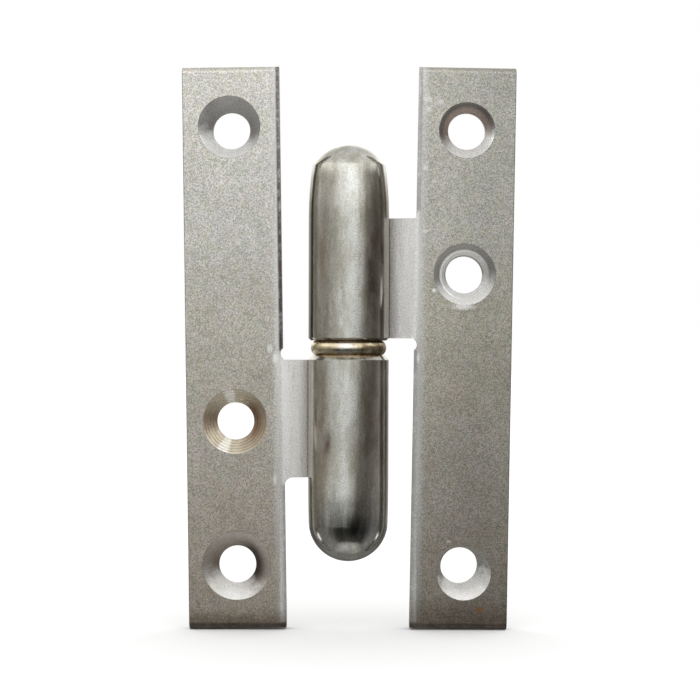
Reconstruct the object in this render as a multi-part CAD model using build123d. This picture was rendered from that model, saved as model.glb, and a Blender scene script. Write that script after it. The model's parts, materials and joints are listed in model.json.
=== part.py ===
from build123d import *
import os
from math import asin, atan2, cos, degrees, hypot, radians, sin, tan

# Lift-off paumelle hinge of the H pattern, with round ended knuckles, lying open.
# Millimetres. +Z runs up the pin and the countersunk faces look along -Y.
# The lower leaf, which holds the pin, lies at -X and the upper leaf at +X.
# The origin is on the pin's axis, at the middle of the plates' height.

# Plates, the flat part of each leaf
plate_height = 80.0
plate_width = 13.8
plate_thickness = 2.65
plate_edge_from_pin = 9.4  # pin's axis to the plate's inner edge, at mid-height
plate_lean = 0.9  # degrees that each plate is out of square with the pin, wider at the top
plate_end_roll = 0.9  # rounding of the front face's ends, where the shears rolled them over
plate_edge_break = 0.15  # rounding of the front face's outer side
closed_gap = 0.8  # between the countersunk faces when the hinge is shut

# Crank, the bend that carries each leaf back to the outside of its knuckle
crank_from_edge = 0.7  # the bend's middle lies this far inside the plate's inner edge
crank_inner_radius = 1.5
web_inset = 0.05  # how far the web's back lies inside the knuckle's surface

# Tabs, the short webs that join the plates to the knuckles
tab_reach = 18.5  # mid-height to a tab's far edge
upper_far_corner_radius = 0.4
lower_far_corner_radius = 1.2
relief_radius = 0.9  # round corner beside the joint
relief_bite = 0.4  # that corner's depth into the plate

# Screw holes, three to a plate, hand countersunk on the front
screw_hole_diameter = 5.3
screw_holes_apart = 62.0  # between a leaf's two end holes
middle_hole = 10.5  # mid-height to the hole beside the tab
countersink_angle = 90.0
chatter_rings = 7  # rings that a chattering bit leaves down a countersink as deep as the plate
chatter_lip = 0.3  # how deep the flatter part of a ring goes, as a share of the ring
end_hole = screw_holes_apart / 2
# Each bite of the countersinking bit: height of its hole, towards the tab's end of the plate,
# diameter, depth, rings, and how far off the hole it is, outwards and away from the tab
upper_bites = (
    (end_hole, 8.0, plate_thickness, 0, 0, 0),
    (middle_hole, 8.8, 0.9, 0, 0, 0),
    (middle_hole, 8.6, plate_thickness, 0, 0.2, 0.1),
    (-end_hole, 7.8, plate_thickness, 0, 0.65, 1.0),
)
lower_bites = (
    (end_hole, 9.8, plate_thickness, 0, 0, 0),
    (middle_hole, 9.3, plate_thickness, chatter_rings, 0, 0),
    (-end_hole, 8.9, plate_thickness, 0, 0.3, 0.4),
)

# Pin and its fits
pin_diameter = 6.0
pin_grip = 18.0  # length pressed into the lower knuckle
pin_nose = 1.0  # bevelled lead at the pin's upper end
pin_foot = 0.5  # bevel at the pressed end
running_clearance = 0.05  # radial, pin to what turns on it
press_interference = 0.01  # radial, pin to the lower knuckle

# Knuckles: the wall round the bore is as thick as the plate
upper_knuckle_length = 27.8
lower_knuckle_length = 29.2
upper_cap_height = 3.1  # round end, past the shoulder where the side stops
lower_cap_height = 5.3
upper_shoulder_radius = 5.2
lower_shoulder_radius = 5.6
upper_rim_bevel = 0.35
lower_rim_bevel = 0.65
upper_end_wall = 3.8  # solid left between the upper bore's drill point and the dome's top
bore_end_clearance = 1.5  # between the pin's nose and the end of the upper bore's straight wall
bore_mouth_bevel = 0.3
drill_point_angle = 118.0

# Thrust washer between the knuckles
washer_inset = 0.35  # how far the washer's rim lies inside the knuckles' surface
washer_thickness = 2.1
washer_crown = 0.6  # how far the rounded rim stands out from the flat faces' edge


def drill_point(radius):
    """Depth of the cone that a drill leaves at the end of a hole."""
    return radius / tan(radians(drill_point_angle / 2))


# Worked out from the sizes above
running_bore_radius = pin_diameter / 2 + running_clearance
press_bore_radius = pin_diameter / 2 - press_interference
knuckle_radius = running_bore_radius + plate_thickness
front_y = closed_gap / 2
back_y = front_y + plate_thickness
plate_centre_x = plate_edge_from_pin + plate_width / 2
strip_height = plate_height + plate_width  # before its leaning ends are cut
joint_z = washer_thickness / 2
upper_bore_depth = upper_knuckle_length - upper_end_wall - drill_point(running_bore_radius)
pin_reach = upper_bore_depth - bore_end_clearance
crank_x = plate_edge_from_pin + crank_from_edge
web_front = running_bore_radius - web_inset
web_back = web_front + plate_thickness
# The web runs from the crank along the outside of the knuckle, whose wall it joins.
crank_angle = asin(web_front / hypot(crank_x, front_y)) - atan2(front_y, crank_x)


def strip_section():
    """Plan of a leaf at +X: plate, crank, and web that runs into the back of the knuckle."""
    outer_x = plate_centre_x + plate_width
    back_crank_x = (web_back - back_y * cos(crank_angle)) / sin(crank_angle)
    front_crank = (crank_x, front_y)
    back_crank = (back_crank_x, back_y)
    outward = Vector(sin(crank_angle), cos(crank_angle))
    section = make_face(
        Polyline(
            (outer_x, front_y),
            front_crank,
            outward * web_front,
            outward * web_back,
            back_crank,
            (outer_x, back_y),
            close=True,
        )
    )
    for corner, radius in (
        (front_crank, crank_inner_radius + plate_thickness),
        (back_crank, crank_inner_radius),
    ):
        section = fillet(section.vertices().sort_by_distance(corner)[0], radius)
    return section


def lean_x(height, lean):
    """How far a point at this height moves outwards when its plate leans."""
    return height * tan(radians(lean))


def leaf_outline(lean, tab_near, far_corner_radius):
    """Front view of a leaf at +X with its tab above mid-height, as a prism through it."""
    plate = Pos(plate_centre_x, 0) * Rot(0, 0, -lean) * Rectangle(plate_width, strip_height)
    tab = Rectangle(plate_centre_x, tab_reach - tab_near, align=(Align.MIN, Align.MIN))
    outline = plate + Pos(0, tab_near) * tab
    half_width = plate_width / 2 / cos(radians(lean))
    far_corner = (plate_centre_x - half_width + lean_x(tab_reach, lean), tab_reach)
    outline = fillet(outline.vertices().sort_by_distance(far_corner)[0], far_corner_radius)
    relief_z = tab_near - relief_radius
    edge_x = plate_centre_x - half_width + lean_x(relief_z, lean)
    outline -= Pos(edge_x + relief_bite - relief_radius, relief_z) * Circle(relief_radius)
    return extrude(Plane.XZ * outline, 2 * knuckle_radius, both=True)


def plate_ends(lean):
    """Side view of a leaf, rolled over at both ends of its front face, as a prism across it."""
    depth = 2 * knuckle_radius
    side = Pos(front_y + depth / 2, 0) * Rectangle(depth, plate_height)
    side = fillet(side.vertices().sort_by(Axis.X)[:2], plate_end_roll)
    across = extrude(Plane.YZ * side, plate_centre_x + plate_width, both=True)
    return Pos(plate_centre_x, 0, 0) * Rot(0, lean, 0) * across


def knuckle(length, rim_bevel, shoulder_radius, cap_height):
    """Solid knuckle standing on the joint: bevelled rim, side that draws in past the tab, and cap.

    The cap is part of a sphere through the shoulder, where the side stops.
    """
    top_z = joint_z + length
    shoulder_z = top_z - cap_height
    cap_radius = (shoulder_radius**2 + cap_height**2) / (2 * cap_height)
    centre_z = top_z - cap_radius
    shoulder_angle = degrees(atan2(shoulder_z - centre_z, shoulder_radius))
    profile = Polyline(
        (0, top_z),
        (0, joint_z),
        (knuckle_radius - rim_bevel, joint_z),
        (knuckle_radius, joint_z + rim_bevel),
        (knuckle_radius, tab_reach),
    )
    profile += Bezier(
        (knuckle_radius, tab_reach),
        (knuckle_radius, (tab_reach + shoulder_z) / 2),
        (shoulder_radius, shoulder_z),
    )
    profile += CenterArc((0, centre_z), cap_radius, shoulder_angle, 90 - shoulder_angle)
    return revolve(Plane.XZ * make_face(profile), Axis.Z)


def blind_bore(radius, depth):
    """Drilled hole up from the joint face: bevelled mouth, straight wall and drill point."""
    profile = Polyline(
        (0, joint_z),
        (radius + bore_mouth_bevel, joint_z),
        (radius, joint_z + bore_mouth_bevel),
        (radius, joint_z + depth),
        (0, joint_z + depth + drill_point(radius)),
        close=True,
    )
    return revolve(Plane.XZ * make_face(profile), Axis.Z)


def countersink(diameter, depth, rings):
    """What one bite of the countersinking bit cuts from the front face, on the Y axis.

    Each ring starts with a flatter lip and ends steeper, so that the cone's angle is kept.
    """
    slope = tan(radians(countersink_angle / 2))
    side = [(0, 0)]
    for ring in range(rings):
        side.append((ring + 1 - chatter_lip, ring + chatter_lip))
        side.append((ring + 1, ring + 1))
    if not rings:
        side.append((1, 1))
    step = depth / max(rings, 1)
    points = [(diameter / 2 - inwards * step * slope, front_y + down * step) for inwards, down in side]
    profile = Polyline((0, front_y), *points, (0, front_y + depth), close=True)
    return revolve(make_face(profile), Axis.Y)


def screw_holes(lean, bites):
    """Cutters for a plate's three holes and their countersinks, down its leaning middle."""
    plate_axis = Pos(plate_centre_x, 0, 0) * Rot(0, lean, 0)
    hole = extrude(Plane.XZ.offset(-back_y) * Circle(screw_hole_diameter / 2), plate_thickness)
    cutters = [plate_axis * Pos(0, 0, z) * hole for z in (end_hole, middle_hole, -end_hole)]
    for height, diameter, depth, rings, outwards, away in bites:
        place = plate_axis * Pos(outwards, 0, height - away)
        cutters.append(place * countersink(diameter, depth, rings))
    return cutters


def leaf(lean, rim_bevel, far_corner_radius, barrel, bore, bites):
    """A whole leaf at +X, with its tab and knuckle above mid-height."""
    strip = Pos(0, 0, -strip_height / 2) * extrude(strip_section(), strip_height)
    body = strip & leaf_outline(lean, joint_z + rim_bevel, far_corner_radius) & plate_ends(lean)
    plate_front = body.faces().sort_by(Axis.Y)[0]
    body = fillet(plate_front.edges().sort_by(Axis.X)[-1], plate_edge_break)
    body += barrel
    body -= bore
    for cutter in screw_holes(lean, bites):
        body -= cutter
    return body


def upper_leaf():
    """Right hand leaf, which turns and lifts off."""
    return leaf(
        plate_lean,
        upper_rim_bevel,
        upper_far_corner_radius,
        knuckle(upper_knuckle_length, upper_rim_bevel, upper_shoulder_radius, upper_cap_height),
        blind_bore(running_bore_radius, upper_bore_depth),
        upper_bites,
    )


def lower_leaf():
    """Left hand leaf, made the same way and turned upside down, which holds the pin."""
    body = leaf(
        -plate_lean,
        lower_rim_bevel,
        lower_far_corner_radius,
        knuckle(lower_knuckle_length, lower_rim_bevel, lower_shoulder_radius, lower_cap_height),
        blind_bore(press_bore_radius, pin_grip),
        lower_bites,
    )
    return Rot(0, 180, 0) * body


def hinge_pin():
    """Plain steel pin, bevelled at both ends, the longer bevel leading into the upper leaf."""
    radius = pin_diameter / 2
    foot_z = -joint_z - pin_grip
    nose_z = joint_z + pin_reach
    profile = Polyline(
        (0, foot_z),
        (radius - pin_foot, foot_z),
        (radius, foot_z + pin_foot),
        (radius, nose_z - pin_nose),
        (radius - pin_nose, nose_z),
        (0, nose_z),
        close=True,
    )
    return revolve(Plane.XZ * make_face(profile), Axis.Z)


def thrust_washer():
    """Brass ring with flat faces and a crowned rim."""
    rim_radius = knuckle_radius - washer_inset
    flat_radius = rim_radius - washer_crown
    faces = Polyline(
        (flat_radius, -joint_z),
        (running_bore_radius, -joint_z),
        (running_bore_radius, joint_z),
        (flat_radius, joint_z),
    )
    rim = ThreePointArc((flat_radius, joint_z), (rim_radius, 0), (flat_radius, -joint_z))
    return revolve(Plane.XZ * make_face(faces + rim), Axis.Z)


pieces = {
    "lower_leaf": lower_leaf,
    "upper_leaf": upper_leaf,
    "hinge_pin": hinge_pin,
    "thrust_washer": thrust_washer,
}

os.makedirs("parts", exist_ok=True)
for name, make in pieces.items():
    export_step(make(), f"parts/{name}.step")
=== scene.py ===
import json
from collections import namedtuple
from math import cos, hypot, radians, sin

import bmesh
import bpy
from mathutils import Euler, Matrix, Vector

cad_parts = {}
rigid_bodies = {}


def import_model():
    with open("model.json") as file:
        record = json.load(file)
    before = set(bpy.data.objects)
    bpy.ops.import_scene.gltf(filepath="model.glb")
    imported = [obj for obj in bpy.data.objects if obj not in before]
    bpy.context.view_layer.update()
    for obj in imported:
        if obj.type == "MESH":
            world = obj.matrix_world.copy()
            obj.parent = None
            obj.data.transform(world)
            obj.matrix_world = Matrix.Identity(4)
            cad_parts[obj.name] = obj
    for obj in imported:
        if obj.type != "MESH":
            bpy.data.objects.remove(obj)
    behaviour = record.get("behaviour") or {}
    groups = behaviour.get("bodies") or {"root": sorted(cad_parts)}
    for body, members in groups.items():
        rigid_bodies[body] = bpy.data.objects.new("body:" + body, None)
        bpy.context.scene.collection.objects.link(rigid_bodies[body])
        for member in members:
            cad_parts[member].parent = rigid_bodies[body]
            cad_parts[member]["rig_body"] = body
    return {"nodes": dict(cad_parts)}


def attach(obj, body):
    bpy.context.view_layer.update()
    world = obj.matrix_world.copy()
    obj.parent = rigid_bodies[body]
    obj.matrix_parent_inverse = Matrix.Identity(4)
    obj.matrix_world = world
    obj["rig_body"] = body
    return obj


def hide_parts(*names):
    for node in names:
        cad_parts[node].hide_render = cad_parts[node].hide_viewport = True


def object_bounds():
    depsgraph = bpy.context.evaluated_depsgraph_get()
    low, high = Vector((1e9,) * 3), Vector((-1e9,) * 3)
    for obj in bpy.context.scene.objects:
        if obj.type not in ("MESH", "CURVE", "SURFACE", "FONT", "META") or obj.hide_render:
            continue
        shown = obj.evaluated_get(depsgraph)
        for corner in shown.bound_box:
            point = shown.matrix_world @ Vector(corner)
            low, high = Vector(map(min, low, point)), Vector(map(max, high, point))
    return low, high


# Looks of a lift-off paumelle hinge: ground steel leaves with polished knuckles, a bright
# pin and a turned brass washer. Everything is in metres; MM turns millimetres into metres.

MM = 0.001

# Camera: square on to the countersunk faces, as far off as a hand-held photo of a small part
CAMERA_DISTANCE = 275 * MM
FIELD_WIDTH = 99.4 * MM  # width of the picture at the plates' front faces
CAMERA_X = 0.2 * MM
CAMERA_Z = -0.3 * MM
CAMERA_ROLL = radians(0.14)
SENSOR_WIDTH = 36.0

# Studio: azimuth is 0 towards the camera and grows to the right of the picture
FLOOR_GAP = 0.05 * MM
FLOOR_SIZE = 6.0
FLOOR_COLOUR = (0.9, 0.9, 0.9, 1)
FLOOR_ROUGHNESS = 0.9
WHITE = (1, 1, 1, 1)
SOFT_LIGHT = (0.45, 0.97)  # what matt things see: its change from horizon to zenith, and its level
ROUND_THE_HORIZON = (
    (-180, 0.5), (-160, 0.36), (-135, 0.42), (-112, 0.44), (-88, 0.35), (-62, 0.42),
    (-36, 0.76), (-8, 1.0), (10, 0.98), (26, 0.66), (42, 0.26), (62, 0.14),
    (84, 0.14), (104, 0.27), (128, 0.50), (160, 0.36), (180, 0.5),
)
UP_THE_HORIZON = (
    (-11, 0.0), (-8, 0.04), (-6.3, 0.40), (-4.7, 0.80), (0, 0.95),
    (4, 1.08), (9, 1.5), (14, 1.5), (25, 1.1), (40, 0.0),
)
UP_AND_DOWN = (
    (-90, 0.25), (-75, 0.5), (-62, 0.36), (-54, 0.06), (-14, 0.03),
    (0, 0.0), (14, 0.0), (30, 0.8), (48, 1.1), (90, 0.95),
)
UP_AND_DOWN_ASIDE = (
    (-90, 0.25), (-75, 0.4), (-60, 0.2), (-14, 0.14), (-4, 0.03), (0, 0.0),
    (16, 0.03), (23, 1.15), (45, 1.05), (60, 0.95), (90, 0.9),
)
UP_AND_DOWN_BEHIND = (
    (-90, 0.25), (-60, 0.20), (-14, 0.12), (0, 0.1), (4, 0.12),
    (12, 0.9), (22, 1.0), (60, 0.8), (90, 0.9),
)
LIGHT_MIDDLE = radians(8)  # azimuth that the next two turns are counted from
TURNED_ASIDE = (radians(40), radians(75))
TURNED_BEHIND = (radians(120), radians(150))
LIGHT_LEANS_OVER = (radians(-4), radians(4))  # heights between which the bright front leans
LIGHT_LEAN = (-20 / 360, 12 / 360)  # how far it is turned there, as shares of a turn
OVERHEAD_WARMTH = 0.05
DARK_WARMTH = 0.24  # warmth of a black horizon; a brighter one has less, and a white one none
GREEN_IN_WARMTH = 0.45  # how much green goes with the blue that warmth takes away

# Places on the leaves, in millimetres: x is counted outwards from the pin, z upwards
KNUCKLE_RADIUS = 5.7
PLATE_FRONT_Y = 0.4
CRANK_X = 10.8  # about where the crank's look gives way to the plate's
PLATE_EDGE_X = 9.4
PLATE_CENTRE_X = 16.3
TAB_MIDDLE = 10.0  # height of a tab's middle above or below the joint, and half its length
TAB_HALF = 9.2
PLATE_LEAN = radians(0.9)
END_HOLE = 31.0
MIDDLE_HOLE = 10.5
HOLE_RADIUS = 2.65
HOLE_MARGIN = 5.2  # no edge nearer to a hole's axis than this is worn round

# Stretches over which a look fades, from nothing to all of it, in millimetres
FOOT_ROLL = (-38.8, -39.3)  # heights where the plates' lower ends roll over, painted dark as shade
FOOT_HEIGHTS = (26.0, -32.0)
FOOT_CLOUDS = 24.0  # how far clouds push the browner, darker foot up and down; the browner is tarnish, the darker painted shade
# HEAD_HEIGHTS: where a plate's head turns lighter, a painted light
HEAD_HEIGHTS = (14.0, 36.0)
MIDDLE_HEIGHTS = (16.0, 6.0)
# OUTER_SIDE: where a plate's outer side turns darker, a painted shade
OUTER_SIDE = (11.0, 20.0)
# RIM_HEAD to RIM_TURN place the painted shade, a dark line, along a plate's inner edge
RIM_HEAD = (14.0, 34.0)
RIM_WIDE = (PLATE_EDGE_X + 0.65, PLATE_EDGE_X + 0.35)
RIM_THIN = (PLATE_EDGE_X + 0.4, PLATE_EDGE_X + 0.2)
RIM_TURN = 1.0  # how far above and below the tab's middle the edge's strength changes
CLEAR_OF_TAB = (TAB_HALF, TAB_HALF + 0.6)
BEHIND_THE_FRONT = (PLATE_FRONT_Y + 0.01, PLATE_FRONT_Y + 0.06)
OFF_THE_KNUCKLE = (KNUCKLE_RADIUS + 0.04, KNUCKLE_RADIUS + 0.5)
TAB_TO_CRANK = (PLATE_EDGE_X, PLATE_EDGE_X + 0.5)
CRANK_TO_PLATE = (CRANK_X - 1.0, CRANK_X + 0.5)
# ABOVE_THE_JOINT: where the crank and tab above the joint take their painted shade
ABOVE_THE_JOINT = (-3.0, 3.0)
OIL_HEIGHTS = (1.45, 1.15)
BELOW_THE_CAPS = (26.0, 22.0)
KNUCKLE_SIDES = (KNUCKLE_RADIUS - 0.9, KNUCKLE_RADIUS - 0.1)
KNUCKLE_FRONT = (1.0, -1.0)
# LOWER_CAP: heights where the lower cap's painted light comes in
LOWER_CAP = (-12.0, -22.0)
# TAB_CORNER_LENGTH, DEPTH and X place the painted shade on a knuckle beside its tab
TAB_CORNER_LENGTH = (TAB_HALF + 0.3, TAB_HALF - 2.5)
TAB_CORNER_DEPTH = (-3.4, 0.6)
TAB_CORNER_X = (2.5, 4.5)
# HIGHLIGHT_RIGHT, LEFT and FRONT place the washer's painted highlight
HIGHLIGHT_RIGHT = (1.4, -0.4)
HIGHLIGHT_LEFT = (-2.4, -0.6)
HIGHLIGHT_FRONT = (0.0, -2.0)

# Spans of a surface's direction, which goes from -1 to 1 and is -1 along y in front
LEAVING_THE_BACK = (0.4, 0.1)
LEAVING_THE_FRONT = (-0.4, -0.05)
FACING_ASIDE = (0.25, 0.7)

# Spans of a noise's values over which a look fades
SOFT_SPAN = (0.3, 0.7)
SHARP_SPAN = (0.35, 0.65)
SAND_SPAN = (0.28, 0.72)
RIM_SPAN = (0.3, 0.55)
NICK_AND_HIGHLIGHT_SPAN = (0.1, 0.5)
RUST_SPAN = (0.3, 0.48)
BLOTCH_SPAN = (0.40, 0.60)
STAIN_SPAN = (0.65, 0.4)
BRASS_SPAN = (0.50, 0.80)

# How far noises darken and brighten each surface
ROUGH_SAND = (0.60, 1.40)
SMOOTH_SAND = (0.78, 1.22)
CUT_SAND = (0.88, 1.1)
PLATE_CLOUDS = (0.94, 1.03)
CRANK_LINES = (0.88, 1.08)
EDGE_MOTTLE = (0.6, 1.3)
RIM_MOTTLE = (0.6, 1.0)
STAIN_BLOTCHES = (0.4, 1.0)
RAGGED = 0.8  # height of the noise that makes a border uneven

# Strengths of a look where it is weakest or strongest
RIM_AT_HEAD = 0.9
RIM_LINE = 0.5
RUST_STRENGTH = 0.65
SIDE_SHADE_STRENGTH = 0.85
# STREAK_STRENGTH: strength of the painted highlight streaks in a sink
STREAK_STRENGTH = 0.9
FILM_AT_RIM = 0.85
FILM_AT_RING = 0.55
BRASS_TARNISH_AND_SHADE = 0.8
SHADE_TO_THE_RIGHT = 0.05  # how much the washer's brown, a painted shade, gains in each millimetre to the right
LOWER_CAP_PAINTED_LIGHT = 1.25  # how much brighter the lower cap is than its knuckle, as painted light
STAIN_SOFTNESS = 0.95  # share of a stain's reach over which it fades

# Countersinks, in millimetres: how far outside and inside its radius a sink's look comes in, how
# near to the axis the film changes, how wide its rim colour is, and how wide a ring's sides are
SINK_OUTSIDE = 0.25
SINK_INSIDE = 0.1
FILM_REACH = HOLE_RADIUS + 0.3
DEEP_REACH = HOLE_RADIUS + 0.4
RIM_FILM_WIDTH = 0.4
RING_WIDTH = (0.25, 0.55)

# How far a direction has to point towards an angle, from -1 to 1, for film and streaks to show
FILM_BORDER = 0.45  # on each side of a hole's own value
TOWARDS_DEEPEST = (0.2, 0.9)
# STREAK_WIDTH: width of the painted highlight streaks
STREAK_WIDTH = (0.97, 0.995)

# Surface: how metallic worn and cut steel is, and the least and most roughness
CRANK_METAL = 0.6
SHEARED_METAL = 0.3
SINK_METAL = 0.5
PLATE_ROUGHNESS = (0.28, 0.38)
SINK_ROUGHNESS = (0.18, 0.30)
RUST_ROUGHNESS = 0.8
KNUCKLE_ROUGHNESS = (0.12, 0.2)
BRASS_ROUGHNESS = (0.22, 0.36)
PIN_ROUGHNESS = (0.18, 0.3)
PLATE_RELIEF = (0.5, 0.02 * MM)  # strength and depth
KNUCKLE_RELIEF = (0.6, 0.03 * MM)
GROUND_SHARE = 0.5  # how much the grinding lines add to the plate's grain

# Wear on the leaves' sheared edges
EDGE_WEAR = 0.25 * MM
SHORTEST_EDGE = 0.06 * MM
CLEAR_OF_KNUCKLE = 0.3
CUT_EDGE_ANGLE = radians(35)
SHARP_ANGLE = radians(30)
ONE_FACE_ANGLE = radians(0.2)
SAME_POINT = 0.001 * MM

# Colours of the plates, cranks and edges
GREENISH_STEEL = (0.445, 0.455, 0.415, 1)
PINKISH_STEEL = (0.50, 0.48, 0.475, 1)
WARM_TINT = (1.015, 1.0, 0.975, 1)
COOL_TINT = (0.99, 1.0, 1.015, 1)
# Painted shade over a plate's lower end
END_SHADE = (0.55, 0.51, 0.47, 1)
EDGE_BROWN = (0.14, 0.12, 0.10, 1)
SIDE_BROWN = (0.34, 0.31, 0.28, 1)
# Painted shade along a plate's inner edge
RIM_SHADE_BROWN = (0.055, 0.04, 0.038, 1)
# Bright nicks, and painted highlights beside the tabs' notch corners
NICK_AND_HIGHLIGHT_WHITE = (0.90, 0.90, 0.88, 1)
RUST_BROWN = (0.40, 0.19, 0.06, 1)

# Colours of the countersinks
# Films on the sinks' upper sides: darker tints, partly the sink's own and partly painted shade
BROWN_FILM_AND_SHADE = (0.05, 0.035, 0.026, 1)
DARK_FILM_AND_SHADE = (0.19, 0.178, 0.16, 1)
PALE_FILM_AND_SHADE = (0.27, 0.26, 0.245, 1)
RED_FILM = (0.20, 0.12, 0.07, 1)
CLEAN_CUT = (0.95, 0.95, 0.93, 1)
GOLDEN_CUT = (0.64, 0.58, 0.45, 1)
# Painted highlight of a sink's bright streaks
STREAK_HIGHLIGHT = (0.98, 0.96, 0.88, 1)

# Colours of the knuckles
DARK_POLISH = (0.525, 0.53, 0.495, 1)
BRIGHT_POLISH = (0.605, 0.617, 0.592, 1)
BLOTCH_SHADE = (0.76, 0.745, 0.69, 1)
OIL_BROWN = (0.30, 0.24, 0.18, 1)
# Painted shade down a knuckle's sides
SIDE_SHADE_BROWN = (0.26, 0.225, 0.19, 1)
# Painted shade on a knuckle beside its tab
TAB_CORNER_SHADE_BROWN = (0.20, 0.16, 0.12, 1)

# Colours of the washer and the pin
DARK_BRASS = (0.66, 0.57, 0.37, 1)
BRIGHT_BRASS = (0.88, 0.82, 0.62, 1)
# Brown of the washer's tarnish and of its painted shade
BROWN_BRASS = (0.26, 0.18, 0.11, 1)
# Painted highlight on the washer
HIGHLIGHT_BRASS = (0.97, 0.95, 0.88, 1)
DARK_PIN = (0.55, 0.55, 0.54, 1)
BRIGHT_PIN = (0.68, 0.68, 0.67, 1)

# A hole's height and countersink radius, the angle that its film lies towards, and how narrow
# the film is, from -1 for all round to 1 for none. Angles are in degrees, clockwise from the top.
# A film that lies towards the top is a darker tint, partly the sink's own and partly painted shade.
# Where rim_film is given, the film has that colour near the rim, and where deepest is given too,
# its own colour shows only towards that angle. The film keeps away from the angles of the two
# bright streaks, which are painted highlights, and then towards is None. bright_ring is the radius of a ring
# of thin film.
Hole = namedtuple(
    "Hole",
    "height radius towards narrow film cut rim_film deepest streaks bright_ring",
    defaults=(None, None, (), None),
)

# What is seen on each leaf. Colours and plain numbers multiply the steel's own colour, but crank
# and tab are colours of their own, lighter than the plate as painted light. The two leaves are one steel:
# the lower leaf's brighter levels of plate, crank, tab and knuckle are painted light, the upper leaf's
# darker ones painted shade.
# head lightens the plate's top and outer_side darkens its outer side, as painted light and shade.
# above is for the crank and tab above the joint, a painted shade, knuckle for
# the whole knuckle. rim is how strong the dark inner edge, a painted shade, is below and above the tab's
# middle.
# lower_end gives the heights between which the plate's end darkens, a painted shade. The row of a nick
# or painted highlight, a speck of rust, or a stain starts with its centre and reach in the front view.
# A nick's row ends with its strength, a stain's with its colour. The nicks beside the tab's notch corners
# are painted highlights, and the near-black stain on the lower leaf's lower cap is a painted dark
# reflection.
LOWER_LEAF_LOOK = {
    "plate": (1.18, 1.18, 1.155, 1),
    "head": 1.10,
    "outer_side": 1.0,
    "middle": (0.93, 0.92, 0.88, 1),
    "knuckle": 1.14,
    "foot": (0.88, 0.80, 0.72, 1),
    "lower_end": (-36.8, -39.0),
    "crank": (0.73, 0.73, 0.70, 1),
    "above": 0.82,
    "tab": (0.97, 0.97, 0.94, 1),
    "rim": (0.2, 0.95),
    "holes": (
        Hole(END_HOLE, 5.0, 12, -0.3, PALE_FILM_AND_SHADE, CLEAN_CUT),
        Hole(
            -MIDDLE_HOLE, 4.65, None, -0.75, RED_FILM, GOLDEN_CUT,
            rim_film=(0.29, 0.225, 0.155, 1), deepest=80, streaks=(348, 203),
        ),
        Hole(-END_HOLE, 4.9, 15, -0.62, BROWN_FILM_AND_SHADE, CLEAN_CUT, rim_film=(0.21, 0.175, 0.145, 1), deepest=80),
    ),
    "nicks_and_highlights": (
        # These three are painted highlights beside the tab's notch corners
        ((-11.2, -0.1), (0.9, 1.3), 0.7),
        ((-10.4, -1.5), (0.9, 1.5), 0.9),
        ((-10.4, -18.8), (0.5, 1.6), 0.9),
    ),
    "rust": (),
    "stains_and_shade": (
        ((-3.6, -13.0), (1.4, 14.0), (0.36, 0.31, 0.25, 1)),
        ((3.4, -10.0), (2.0, 11.0), (0.34, 0.30, 0.26, 1)),
        ((-3.0, -13.2), (0.9, 2.6), (0.14, 0.11, 0.09, 1)),
        # Painted dark reflection on the lower cap
        ((0.8, -25.1), (3.0, 2.7), (0.05, 0.047, 0.045, 1)),
    ),
}
UPPER_LEAF_LOOK = {
    "plate": (0.95, 0.95, 0.90, 1),
    "head": 1.0,
    "outer_side": 0.84,
    "middle": (0.98, 0.97, 0.925, 1),
    "knuckle": 1.04,
    "foot": (0.85, 0.78, 0.74, 1),
    "lower_end": (-34.0, -39.4),
    "crank": (0.56, 0.56, 0.54, 1),
    "above": 1.0,
    "tab": (0.80, 0.80, 0.78, 1),
    "rim": (0.25, 0.45),
    "holes": (
        Hole(END_HOLE, 4.1, 345, -0.3, (0.28, 0.225, 0.19, 1), CLEAN_CUT, rim_film=BROWN_FILM_AND_SHADE),
        Hole(MIDDLE_HOLE, 4.4, 350, -0.35, DARK_FILM_AND_SHADE, CLEAN_CUT, bright_ring=3.15),
        Hole(-END_HOLE, 5.1, 345, -0.5, DARK_FILM_AND_SHADE, CLEAN_CUT),
    ),
    "nicks_and_highlights": (
        ((11.2, 35.4), (1.3, 1.0), 0.35),
        ((13.0, 35.0), (0.9, 0.7), 0.35),
        ((11.3, 33.9), (0.9, 0.8), 0.35),
        ((10.9, 25.6), (0.8, 0.7), 0.45),
        ((12.1, 23.8), (0.7, 0.7), 0.3),
        ((12.1, 8.2), (0.6, 0.6), 0.9),
        ((10.9, 16.6), (0.8, 0.6), 0.4),
        ((14.3, -27.5), (0.7, 0.5), 0.4),
        # Painted highlight beside the tab's notch corner
        ((9.9, -1.4), (0.4, 1.4), 0.7),
        ((16.2, 5.9), (3.0, 0.9), 0.8),
    ),
    "rust": (((18.7, -37.2), (1.6, 1.4)),),
    "stains_and_shade": (
        ((3.2, 10.5), (1.5, 5.5), (0.06, 0.045, 0.035, 1)),
        ((3.9, 12.0), (1.8, 14.0), (0.26, 0.22, 0.19, 1)),
        ((-3.6, 13.0), (1.2, 13.0), (0.40, 0.35, 0.29, 1)),
    ),
}

# A point's place on a leaf in millimetres, and masks from 0 to 1 for the leaf's zones
Zones = namedtuple("Zones", "place x y z outwards from_tab plate flat sunk sheared beside in_front rim")
Grains = namedtuple("Grains", "sand grain mottle cloud tint drawn blotch ground")

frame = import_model()
cad_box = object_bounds()


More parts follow.
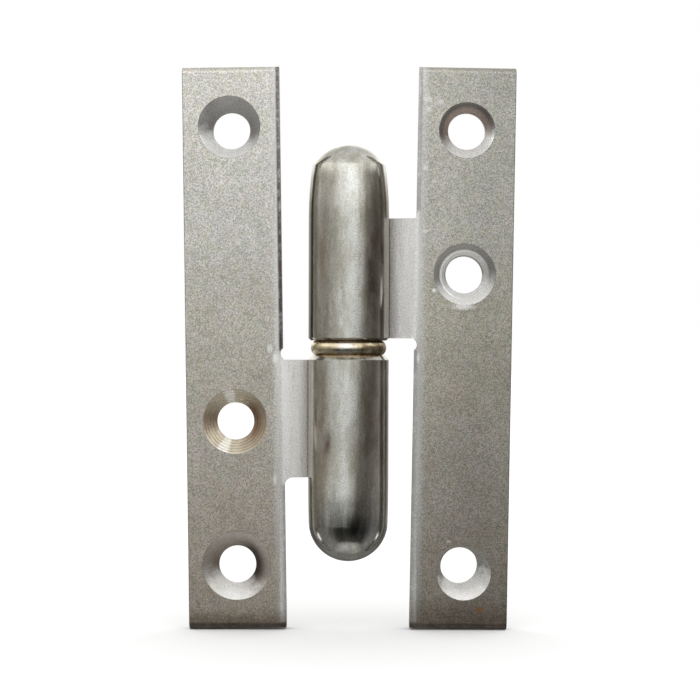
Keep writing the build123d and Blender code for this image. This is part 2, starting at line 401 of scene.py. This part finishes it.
class Graph:
    """Short ways to add nodes to a material's or world's tree."""

    def __init__(self, tree):
        self.tree = tree

    def node(self, kind, **settings):
        made = self.tree.nodes.new(kind)
        for name, value in settings.items():
            setattr(made, name, value)
        return made

    def plug(self, socket, value):
        """Links an output to a socket, or sets the socket to a number or colour."""
        if isinstance(value, bpy.types.NodeSocket):
            self.tree.links.new(value, socket)
        elif value is not None:
            socket.default_value = value

    def math(self, operation, first, second=None, third=None):
        made = self.node("ShaderNodeMath", operation=operation)
        for socket, value in zip(made.inputs, (first, second, third)):
            self.plug(socket, value)
        return made.outputs[0]

    def times(self, first, second):
        return self.math("MULTIPLY", first, second)

    def larger(self, first, second):
        return self.math("MAXIMUM", first, second)

    def unsigned(self, value):
        return self.math("ABSOLUTE", value)

    def fade(self, value, start, end, low=0.0, high=1.0):
        """Smooth change from low to high as value goes from start to end."""
        made = self.node("ShaderNodeMapRange", interpolation_type="SMOOTHSTEP")
        numbers = {"Value": value, "From Min": start, "From Max": end, "To Min": low, "To Max": high}
        for name, number in numbers.items():
            self.plug(made.inputs[name], number)
        return made.outputs[0]

    def ragged(self, value, noise):
        """The value, wandering up and down with a noise, for a border that isn't a clean line."""
        return self.math("MULTIPLY_ADD", noise, RAGGED, self.math("SUBTRACT", value, RAGGED / 2))

    def mix(self, factor, first, second, blend="MIX"):
        made = self.node("ShaderNodeMix", data_type="RGBA", blend_type=blend)
        self.plug(made.inputs["Factor"], factor)
        self.plug(made.inputs[6], first)
        self.plug(made.inputs[7], second)
        return made.outputs[2]

    def shade(self, colour, factor):
        return self.mix(1.0, colour, factor, "MULTIPLY")

    def mix_value(self, factor, first, second):
        made = self.node("ShaderNodeMix", data_type="FLOAT")
        for place, value in zip((0, 2, 3), (factor, first, second)):
            self.plug(made.inputs[place], value)
        return made.outputs[0]

    def noise(self, place, scale, detail=4.0, roughness=0.6):
        """Noise of one scale, or of one for each axis."""
        made = self.node("ShaderNodeTexNoise")
        if isinstance(scale, tuple):
            place = self.vector("MULTIPLY", place, scale)
            scale = 1.0
        self.plug(made.inputs["Vector"], place)
        made.inputs["Scale"].default_value = scale
        made.inputs["Detail"].default_value = detail
        made.inputs["Roughness"].default_value = roughness
        return made.outputs["Fac"]

    def ramp(self, value, stops):
        """Colours that ease from one to the next of (position, colour) stops."""
        made = self.node("ShaderNodeValToRGB")
        made.color_ramp.interpolation = "EASE"
        elements = made.color_ramp.elements
        while len(elements) < len(stops):
            elements.new(0.5)
        for element, (position, colour) in zip(elements, stops):
            element.position = position
            element.color = (*colour, 1.0)
        self.plug(made.inputs[0], value)
        return made.outputs[0]

    def vector(self, operation, first, second=None):
        made = self.node("ShaderNodeVectorMath", operation=operation)
        self.plug(made.inputs[0], first)
        self.plug(made.inputs["Scale" if operation == "SCALE" else 1], second)
        return made.outputs["Value" if operation in ("LENGTH", "DOT_PRODUCT") else "Vector"]

    def split(self, vector):
        """The three numbers of a vector."""
        made = self.node("ShaderNodeSeparateXYZ")
        self.plug(made.inputs[0], vector)
        return made.outputs

    def along(self, way, degrees):
        """How far a direction in the front view points towards an angle, clockwise from the top."""
        return self.vector("DOT_PRODUCT", way, (sin(radians(degrees)), 0, cos(radians(degrees))))

    def bump(self, height, strength, distance, normal=None):
        made = self.node("ShaderNodeBump")
        made.inputs["Strength"].default_value = strength
        made.inputs["Distance"].default_value = distance
        self.plug(made.inputs["Height"], height)
        self.plug(made.inputs["Normal"], normal)
        return made.outputs[0]


def new_material(name):
    """A node material and its graph, with the shader's sockets."""
    material = bpy.data.materials.new(name)
    material.use_nodes = True
    shader = material.node_tree.nodes["Principled BSDF"]
    return material, Graph(material.node_tree), shader.inputs


def millimetres(graph):
    """The point's place on its piece, in millimetres from the hinge's origin at rest."""
    place = graph.node("ShaderNodeTexCoord").outputs["Object"]
    return graph.vector("SCALE", place, 1 / MM)


def add_camera():
    data = bpy.data.cameras.new("camera")
    data.sensor_width = SENSOR_WIDTH
    data.lens = SENSOR_WIDTH * CAMERA_DISTANCE / FIELD_WIDTH
    data.clip_start = 0.01
    data.clip_end = 50
    camera = bpy.data.objects.new("camera", data)
    camera.location = (CAMERA_X, -CAMERA_DISTANCE, CAMERA_Z)
    camera.rotation_euler = Euler((radians(90), 0, 0))
    camera.rotation_euler.rotate_axis("Z", CAMERA_ROLL)
    bpy.context.scene.collection.objects.link(camera)
    bpy.context.scene.camera = camera


def grey(level, warmth=0.0):
    """A grey of that level, browner as warmth grows."""
    return (level, level * (1 - GREEN_IN_WARMTH * warmth), level * (1 - warmth))


def turn_stops(pairs):
    """Ramp stops from pairs of (degrees, level), where the ramp runs from -180 to 180 degrees."""
    return [((angle + 180) / 360, grey(level, DARK_WARMTH * (1 - min(level, 1)))) for angle, level in pairs]


def height_stops(pairs, warmth=0.0):
    """Ramp stops from pairs of (degrees above the horizon, level)."""
    return [((angle + 90) / 180, grey(level, warmth)) for angle, level in pairs]


def light_in_metal(graph, azimuth, elevation):
    """What metal reflects: a bright front and top, with a dark right and foot."""
    around = graph.math("MULTIPLY_ADD", azimuth, 1 / radians(360), 0.5)
    height = graph.math("MULTIPLY_ADD", elevation, 1 / radians(180), 0.5)
    lean = graph.fade(elevation, *LIGHT_LEANS_OVER, *LIGHT_LEAN)
    ring = graph.ramp(graph.math("SUBTRACT", around, lean), turn_stops(ROUND_THE_HORIZON))
    ring = graph.shade(ring, graph.ramp(height, height_stops(UP_THE_HORIZON)))
    turned = graph.unsigned(graph.math("SUBTRACT", azimuth, LIGHT_MIDDLE))
    overhead = graph.ramp(height, height_stops(UP_AND_DOWN, OVERHEAD_WARMTH))
    for pairs, turn in ((UP_AND_DOWN_ASIDE, TURNED_ASIDE), (UP_AND_DOWN_BEHIND, TURNED_BEHIND)):
        there = graph.ramp(height, height_stops(pairs, OVERHEAD_WARMTH))
        overhead = graph.mix(graph.fade(turned, *turn), overhead, there)
    return graph.mix(1.0, ring, overhead, "ADD")


def light_world():
    """Soft studio light, white behind the hinge and soft on matt things."""
    world = bpy.data.worlds.new("studio")
    bpy.context.scene.world = world
    world.use_nodes = True
    tree = world.node_tree
    tree.nodes.clear()
    graph = Graph(tree)
    x, y, z = graph.split(graph.node("ShaderNodeTexCoord").outputs["Generated"])
    azimuth = graph.math("ARCTAN2", x, graph.times(y, -1.0))
    seen_in_metal = light_in_metal(graph, azimuth, graph.math("ARCSINE", z))
    rays = graph.node("ShaderNodeLightPath")
    soft_light = graph.math("MULTIPLY_ADD", z, *SOFT_LIGHT)
    white_or_soft = graph.mix(rays.outputs["Is Diffuse Ray"], WHITE, soft_light)
    background = graph.node("ShaderNodeBackground")
    colour = graph.mix(rays.outputs["Is Glossy Ray"], white_or_soft, seen_in_metal)
    graph.plug(background.inputs["Color"], colour)
    output = graph.node("ShaderNodeOutputWorld")
    graph.plug(output.inputs["Surface"], background.outputs[0])


def add_floor():
    """Plain pale floor under the plates' lower ends."""
    low, _ = cad_box
    half = FLOOR_SIZE / 2
    z = low.z - FLOOR_GAP
    corners = [(-half, -half, z), (half, -half, z), (half, half, z), (-half, half, z)]
    mesh = bpy.data.meshes.new("floor")
    mesh.from_pydata(corners, [], [(0, 1, 2, 3)])
    floor = bpy.data.objects.new("floor", mesh)
    bpy.context.scene.collection.objects.link(floor)
    material, _, shader = new_material("pale_floor")
    shader["Base Color"].default_value = FLOOR_COLOUR
    shader["Roughness"].default_value = FLOOR_ROUGHNESS
    shader["Specular IOR Level"].default_value = 0.0
    mesh.materials.append(material)
    floor.visible_glossy = False


def seen_from_front(graph, place, centre, reach, softness):
    """1 inside an ellipse of the front view, fading to 0 at its rim: centre and reach are (x, z)."""
    away = graph.vector("SUBTRACT", place, (centre[0], 0, centre[1]))
    away = graph.vector("MULTIPLY", away, (1 / reach[0], 0, 1 / reach[1]))
    return graph.fade(graph.vector("LENGTH", away), 1.0, 1.0 - softness)


def hole_centre(side, height):
    """Where a screw hole's axis crosses the front view; side is -1 for the left leaf."""
    return side * (PLATE_CENTRE_X + height * sin(PLATE_LEAN)), height


def painted_inner_edge_shade(graph, side, look, outwards, z, from_tab):
    """Mask of the painted shade, a dark line, along a plate's inner edge, above and below its tab."""
    tab_middle = side * TAB_MIDDLE
    rim = graph.fade(outwards, *RIM_WIDE)
    rim = graph.times(rim, graph.fade(z, tab_middle - RIM_TURN, tab_middle + RIM_TURN, *look["rim"]))
    rim = graph.times(rim, graph.fade(z, *RIM_HEAD, 1.0, RIM_AT_HEAD))
    rim = graph.larger(rim, graph.fade(outwards, *RIM_THIN, 0.0, RIM_LINE))
    return graph.times(rim, graph.fade(from_tab, *CLEAR_OF_TAB))


def leaf_zones(graph, side, look):
    """Tells a leaf's zones apart by place and by which way the surface faces.

    outwards is counted from the pin, square to the plate's lean. plate is all but the knuckle,
    flat is the plate without its crank and tab, and sunk is what lies behind the plate's front.
    """
    place = millimetres(graph)
    x, y, z = graph.split(place)
    face_x, face_y, face_z = graph.split(graph.node("ShaderNodeTexCoord").outputs["Normal"])
    from_pin = graph.vector("LENGTH", graph.vector("MULTIPLY", place, (1, 1, 0)))
    outwards = graph.math("MULTIPLY_ADD", z, -sin(PLATE_LEAN), graph.unsigned(x))
    from_tab = graph.unsigned(graph.math("MULTIPLY_ADD", z, side, -TAB_MIDDLE))
    in_front = graph.fade(face_y, *LEAVING_THE_BACK)
    sunk = graph.fade(y, *BEHIND_THE_FRONT)
    turned_away = graph.larger(graph.unsigned(face_x), graph.times(face_z, -1.0))
    # The lower end's roll takes the sheared edges' dark colour: painted shade
    rolled = graph.times(graph.fade(z, *FOOT_ROLL), in_front)
    return Zones(
        place=place,
        x=x,
        y=y,
        z=z,
        outwards=outwards,
        from_tab=from_tab,
        plate=graph.fade(from_pin, *OFF_THE_KNUCKLE),
        flat=graph.fade(outwards, *CRANK_TO_PLATE),
        sunk=graph.times(sunk, in_front),
        sheared=graph.larger(graph.fade(turned_away, *FACING_ASIDE), rolled),
        beside=graph.fade(face_y, *LEAVING_THE_FRONT),
        in_front=in_front,
        rim=painted_inner_edge_shade(graph, side, look, outwards, z, from_tab),
    )


def leaf_grains(graph, place):
    """Grains and clouds of several sizes, the same all over the leaf."""
    return Grains(
        sand=graph.noise(place, 6.5, detail=2.0),
        grain=graph.noise(place, 4.5, detail=3.0, roughness=0.7),
        mottle=graph.noise(place, 1.1, roughness=0.65),
        cloud=graph.noise(place, 0.16, detail=3.0),
        tint=graph.noise(place, 0.7, detail=2.0),
        drawn=graph.noise(place, (0.9, 0.9, 0.07)),
        blotch=graph.noise(place, (0.45, 0.45, 0.18), detail=5.0, roughness=0.65),
        ground=graph.noise(place, (0.35, 1.0, 6.0), detail=3.0),
    )


def plate_colour(graph, look, at, grains):
    """Grey steel, mottled greener and pinker, browner and darker towards its foot. The browner foot is
    tarnish; the darker foot, the lighter head and the darker outer side are painted shade and light.
    """
    steel = graph.mix(graph.fade(grains.mottle, *SHARP_SPAN), GREENISH_STEEL, PINKISH_STEEL)
    steel = graph.shade(steel, graph.fade(grains.cloud, *SOFT_SPAN, *PLATE_CLOUDS))
    steel = graph.shade(steel, graph.mix(graph.fade(grains.tint, *SHARP_SPAN), WARM_TINT, COOL_TINT))
    # Towards the foot: browner with tarnish, darker with painted shade
    foot = graph.fade(graph.math("MULTIPLY_ADD", grains.cloud, FOOT_CLOUDS, at.z), *FOOT_HEIGHTS)
    steel = graph.mix(foot, steel, graph.shade(steel, look["foot"]))
    steel = graph.shade(steel, look["plate"])
    # Painted light: the plate's head lighter
    steel = graph.shade(steel, graph.fade(at.z, *HEAD_HEIGHTS, 1.0, look["head"]))
    middle = graph.fade(graph.unsigned(at.z), *MIDDLE_HEIGHTS)
    steel = graph.mix(middle, steel, graph.shade(steel, look["middle"]))
    # Painted shade: the plate's outer side darker
    return graph.shade(steel, graph.fade(at.outwards, *OUTER_SIDE, 1.0, look["outer_side"]))


def crank_colour(graph, look, at, grains):
    """Crank and tab, lighter than the plate as painted light, with lines drawn along the pin, and darker
    above the joint as painted shade where the look asks.
    """
    worn = graph.mix(graph.fade(at.outwards, *TAB_TO_CRANK), look["tab"], look["crank"])
    worn = graph.shade(worn, graph.fade(grains.drawn, *SOFT_SPAN, *CRANK_LINES))
    return graph.shade(worn, graph.fade(at.z, *ABOVE_THE_JOINT, 1.0, look["above"]))


def with_brown_edges_and_shade(graph, look, at, grains, steel):
    """Makes the sheared edges dark and brown, and paints shade as a dark line along the inner edge and over
    the lower end.
    """
    edge = graph.mix(at.beside, EDGE_BROWN, SIDE_BROWN)
    edge = graph.shade(edge, graph.fade(grains.mottle, *SOFT_SPAN, *EDGE_MOTTLE))
    steel = graph.mix(at.sheared, steel, edge)
    # Painted shade: a dark line along the plate's inner edge
    rim = graph.times(at.rim, graph.fade(grains.mottle, *RIM_SPAN, *RIM_MOTTLE))
    steel = graph.mix(rim, steel, RIM_SHADE_BROWN)
    # Painted shade: the plate's lower end darker
    lower_end = graph.fade(graph.ragged(at.z, grains.mottle), *look["lower_end"])
    return graph.mix(lower_end, steel, graph.shade(steel, END_SHADE))


def with_nicks_and_highlights(graph, look, at, grains, steel):
    """Adds small bright nicks, and painted highlights beside the tabs' notch corners."""
    for centre, reach, strength in look["nicks_and_highlights"]:
        mark = graph.times(seen_from_front(graph, at.place, centre, reach, 1.0), grains.grain)
        mark = graph.fade(graph.times(mark, at.in_front), *NICK_AND_HIGHLIGHT_SPAN, 0.0, strength)
        steel = graph.mix(mark, steel, NICK_AND_HIGHLIGHT_WHITE)
    return steel


def rust_specks(graph, look, at, grains):
    """Mask of the specks of rust."""
    rust = 0.0
    for centre, reach in look["rust"]:
        mark = graph.times(seen_from_front(graph, at.place, centre, reach, 1.0), grains.sand)
        rust = graph.larger(rust, graph.fade(mark, *RUST_SPAN))
    return graph.times(rust, at.in_front)


def film_and_shade_colour(graph, hole, away, way):
    """The film's colour, partly the sink's own tint and partly painted shade, with another one near the rim
    where the hole has it.
    """
    if not hole.rim_film:
        return hole.film
    deep = graph.fade(away, hole.radius - RIM_FILM_WIDTH, DEEP_REACH)
    if hole.deepest:
        deep = graph.times(deep, graph.fade(graph.along(way, hole.deepest), *TOWARDS_DEEPEST))
    return graph.mix(deep, hole.rim_film, hole.film)


def countersink(graph, side, hole, at, grains):
    """Mask and colour of one countersink: bright where the bit cut, with a darker film on one side, partly
    the sink's own tint and partly painted shade, and on a hole with streaks, bright streaks of painted
    highlight.
    """
    x, z = hole_centre(side, hole.height)
    in_front_view = graph.vector("MULTIPLY", at.place, (1, 0, 1))
    offset = graph.vector("SUBTRACT", in_front_view, (x, 0, z))
    away = graph.vector("LENGTH", offset)
    way = graph.vector("NORMALIZE", offset)
    cut = hole.cut
    if hole.streaks:
        nearest = graph.larger(*[graph.along(way, angle) for angle in hole.streaks])
        filmed = graph.times(nearest, -1.0)
        # Painted highlight: bright streaks across the sink
        cut = graph.mix(graph.fade(nearest, *STREAK_WIDTH, 0.0, STREAK_STRENGTH), cut, STREAK_HIGHLIGHT)
    else:
        filmed = graph.along(way, hole.towards)
    filmed = graph.ragged(filmed, grains.mottle)
    share = graph.fade(filmed, hole.narrow - FILM_BORDER, hole.narrow + FILM_BORDER)
    share = graph.times(share, graph.fade(away, hole.radius, FILM_REACH, FILM_AT_RIM, 1.0))
    if hole.bright_ring:
        from_ring = graph.unsigned(graph.math("SUBTRACT", away, hole.bright_ring))
        share = graph.times(share, graph.fade(from_ring, *RING_WIDTH, FILM_AT_RING, 1.0))
    cut = graph.shade(cut, graph.fade(grains.sand, *SAND_SPAN, *CUT_SAND))
    inside = graph.fade(away, hole.radius + SINK_OUTSIDE, hole.radius - SINK_INSIDE)
    return graph.times(inside, at.sunk), graph.mix(share, cut, film_and_shade_colour(graph, hole, away, way))


def knuckle_colour(graph, side, look, at, grains):
    """Steel polished along the pin, with brown streaks and stains, and oil beside the washer. Its sides and
    the band beside its tab are darker as painted shade, its lower cap brighter as painted light, and one
    near-black stain on the lower leaf's cap is a painted dark reflection.
    """
    height = graph.unsigned(at.z)
    polished = graph.mix(graph.fade(grains.drawn, *SHARP_SPAN), DARK_POLISH, BRIGHT_POLISH)
    polished = graph.mix(graph.fade(height, *OIL_HEIGHTS), polished, OIL_BROWN)
    blotched = graph.shade(polished, BLOTCH_SHADE)
    polished = graph.mix(graph.fade(grains.blotch, *BLOTCH_SPAN), blotched, polished)
    # Stains, and on the lower leaf's lower cap a painted dark reflection
    for centre, reach, stain in look["stains_and_shade"]:
        mark = seen_from_front(graph, at.place, centre, reach, STAIN_SOFTNESS)
        mark = graph.times(mark, graph.fade(at.y, *KNUCKLE_FRONT))
        mark = graph.times(mark, graph.fade(grains.blotch, *STAIN_SPAN, *STAIN_BLOTCHES))
        polished = graph.mix(mark, polished, stain)
    # Painted shade: the knuckle's sides darker and browner
    tarnish_and_shade = graph.fade(graph.unsigned(at.x), *KNUCKLE_SIDES, 0.0, SIDE_SHADE_STRENGTH)
    tarnish_and_shade = graph.times(tarnish_and_shade, graph.fade(height, *BELOW_THE_CAPS))
    polished = graph.mix(tarnish_and_shade, polished, SIDE_SHADE_BROWN)
    # Painted shade on the knuckle in the corner beside its tab
    tab_corner_shade = graph.fade(at.from_tab, *TAB_CORNER_LENGTH)
    tab_corner_shade = graph.times(tab_corner_shade, graph.fade(at.y, *TAB_CORNER_DEPTH))
    tab_corner_shade = graph.times(tab_corner_shade, graph.fade(graph.times(at.x, side), *TAB_CORNER_X))
    polished = graph.mix(tab_corner_shade, polished, TAB_CORNER_SHADE_BROWN)
    polished = graph.shade(polished, graph.fade(grains.sand, *SAND_SPAN, *SMOOTH_SAND))
    # Painted light: the lower cap brighter than its knuckle
    brightness = look["knuckle"]
    return graph.shade(polished, graph.fade(at.z, *LOWER_CAP, brightness, brightness * LOWER_CAP_PAINTED_LIGHT))


def finish_leaf(graph, shader, at, grains, sinks, rust):
    """Steel scatters where it is worn or cut, and mirrors where it is polished."""
    metal = graph.mix_value(at.flat, CRANK_METAL, 1.0)
    metal = graph.mix_value(at.sheared, metal, SHEARED_METAL)
    metal = graph.mix_value(sinks, metal, SINK_METAL)
    graph.plug(shader["Metallic"], graph.mix_value(at.plate, 1.0, metal))
    satin = graph.fade(grains.grain, *SOFT_SPAN, *PLATE_ROUGHNESS)
    satin = graph.mix_value(sinks, satin, graph.fade(grains.mottle, *SOFT_SPAN, *SINK_ROUGHNESS))
    satin = graph.mix_value(rust, satin, RUST_ROUGHNESS)
    smooth = graph.fade(grains.drawn, *SOFT_SPAN, *KNUCKLE_ROUGHNESS)
    graph.plug(shader["Roughness"], graph.mix_value(at.plate, smooth, satin))
    relief = graph.math("MULTIPLY_ADD", grains.ground, GROUND_SHARE, grains.grain)
    plate_bump = graph.bump(graph.times(relief, at.plate), *PLATE_RELIEF)
    waves = graph.times(grains.drawn, graph.math("SUBTRACT", 1.0, at.plate))
    graph.plug(shader["Normal"], graph.bump(waves, *KNUCKLE_RELIEF, plate_bump))


def leaf_steel(name, side, look):
    """Ground plate, brighter crank and tab, their brightness partly painted light, and polished knuckle of
    one leaf.
    """
    material, graph, shader = new_material(name)
    at = leaf_zones(graph, side, look)
    grains = leaf_grains(graph, at.place)
    crank = crank_colour(graph, look, at, grains)
    steel = graph.mix(at.flat, crank, plate_colour(graph, look, at, grains))
    steel = with_brown_edges_and_shade(graph, look, at, grains, steel)
    smooth_sand = graph.fade(grains.sand, *SAND_SPAN, *SMOOTH_SAND)
    rough_sand = graph.fade(grains.sand, *SAND_SPAN, *ROUGH_SAND)
    steel = graph.shade(steel, graph.mix(at.flat, smooth_sand, rough_sand))
    steel = with_nicks_and_highlights(graph, look, at, grains, steel)
    rust = rust_specks(graph, look, at, grains)
    steel = graph.mix(graph.times(rust, RUST_STRENGTH), steel, RUST_BROWN)
    sinks = 0.0
    for hole in look["holes"]:
        inside, turned = countersink(graph, side, hole, at, grains)
        steel = graph.mix(inside, steel, turned)
        sinks = graph.larger(sinks, inside)
    polished = knuckle_colour(graph, side, look, at, grains)
    graph.plug(shader["Base Color"], graph.mix(at.plate, polished, steel))
    finish_leaf(graph, shader, at, grains, sinks, rust)
    return material


def washer_brass():
    """Turned brass, tarnished brown in blotches, darker to the right as painted shade, and with a painted
    highlight in front.
    """
    material, graph, shader = new_material("washer_brass")
    place = millimetres(graph)
    x, y, _ = graph.split(place)
    cloud = graph.noise(place, 0.8, detail=3.0)
    brass = graph.mix(graph.fade(cloud, *SOFT_SPAN), DARK_BRASS, BRIGHT_BRASS)
    # Brown tarnish in blotches, and painted shade growing to the right
    tarnish_and_shade = graph.math("MULTIPLY_ADD", x, SHADE_TO_THE_RIGHT, graph.noise(place, 1.3, detail=3.0))
    brass = graph.mix(graph.fade(tarnish_and_shade, *BRASS_SPAN, 0.0, BRASS_TARNISH_AND_SHADE), brass, BROWN_BRASS)
    # Painted highlight in front
    painted_highlight = graph.times(graph.fade(x, *HIGHLIGHT_RIGHT), graph.fade(x, *HIGHLIGHT_LEFT))
    painted_highlight = graph.times(painted_highlight, graph.fade(y, *HIGHLIGHT_FRONT))
    graph.plug(shader["Base Color"], graph.mix(painted_highlight, brass, HIGHLIGHT_BRASS))
    shader["Metallic"].default_value = 1.0
    graph.plug(shader["Roughness"], graph.fade(cloud, *SOFT_SPAN, *BRASS_ROUGHNESS))
    return material


def pin_steel():
    """Bright drawn steel with fine lines along the pin."""
    material, graph, shader = new_material("pin_steel")
    lines = graph.noise(millimetres(graph), (12, 12, 0.6))
    graph.plug(shader["Base Color"], graph.mix(lines, DARK_PIN, BRIGHT_PIN))
    shader["Metallic"].default_value = 1.0
    graph.plug(shader["Roughness"], graph.fade(lines, *SOFT_SPAN, *PIN_ROUGHNESS))
    return material


def dress(piece, material):
    """Gives a piece its one material."""
    piece.data.materials.clear()
    piece.data.materials.append(material)


def is_cut_edge(edge, side):
    """True for the sharp edges round a leaf's plate and tab, away from its knuckle and its holes."""
    if edge.calc_face_angle_signed(0) < CUT_EDGE_ANGLE or edge.calc_length() < SHORTEST_EDGE:
        return False
    holes = [hole_centre(side, side * height) for height in (END_HOLE, MIDDLE_HOLE, -END_HOLE)]
    for vertex in edge.verts:
        x, y, z = vertex.co / MM
        if hypot(x, y) < KNUCKLE_RADIUS + CLEAR_OF_KNUCKLE:
            return False
        if any(hypot(x - hole_x, z - hole_z) < HOLE_MARGIN for hole_x, hole_z in holes):
            return False
    return True


def soft_edged_leaf(node, side):
    """A copy of a leaf whose sheared edges are worn round, in the leaf's place."""
    shape = bmesh.new()
    shape.from_mesh(frame["nodes"][node].data)
    bmesh.ops.remove_doubles(shape, verts=shape.verts, dist=SAME_POINT)
    bmesh.ops.dissolve_limit(shape, angle_limit=ONE_FACE_ANGLE, verts=shape.verts, edges=shape.edges)
    bmesh.ops.bevel(
        shape,
        geom=[edge for edge in shape.edges if is_cut_edge(edge, side)],
        offset=EDGE_WEAR,
        segments=3,
        profile=0.5,
        affect="EDGES",
        clamp_overlap=True,
    )
    for face in shape.faces:
        face.smooth = True
    for edge in shape.edges:
        edge.smooth = edge.calc_face_angle(0) < SHARP_ANGLE
    mesh = bpy.data.meshes.new(node + "_worn")
    shape.to_mesh(mesh)
    shape.free()
    piece = bpy.data.objects.new(node + "_worn", mesh)
    bpy.context.scene.collection.objects.link(piece)
    weighted = piece.modifiers.new("flat_faces_stay_flat", "WEIGHTED_NORMAL")
    weighted.keep_sharp = True
    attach(piece, frame["nodes"][node]["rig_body"])
    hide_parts(node)
    return piece


add_camera()
light_world()
add_floor()
dress(soft_edged_leaf("lower_leaf", -1), leaf_steel("lower_leaf_steel", -1, LOWER_LEAF_LOOK))
dress(soft_edged_leaf("upper_leaf", 1), leaf_steel("upper_leaf_steel", 1, UPPER_LEAF_LOOK))
dress(frame["nodes"]["hinge_pin"], pin_steel())
dress(frame["nodes"]["thrust_washer"], washer_brass())
bpy.context.scene.view_settings.view_transform = "Standard"
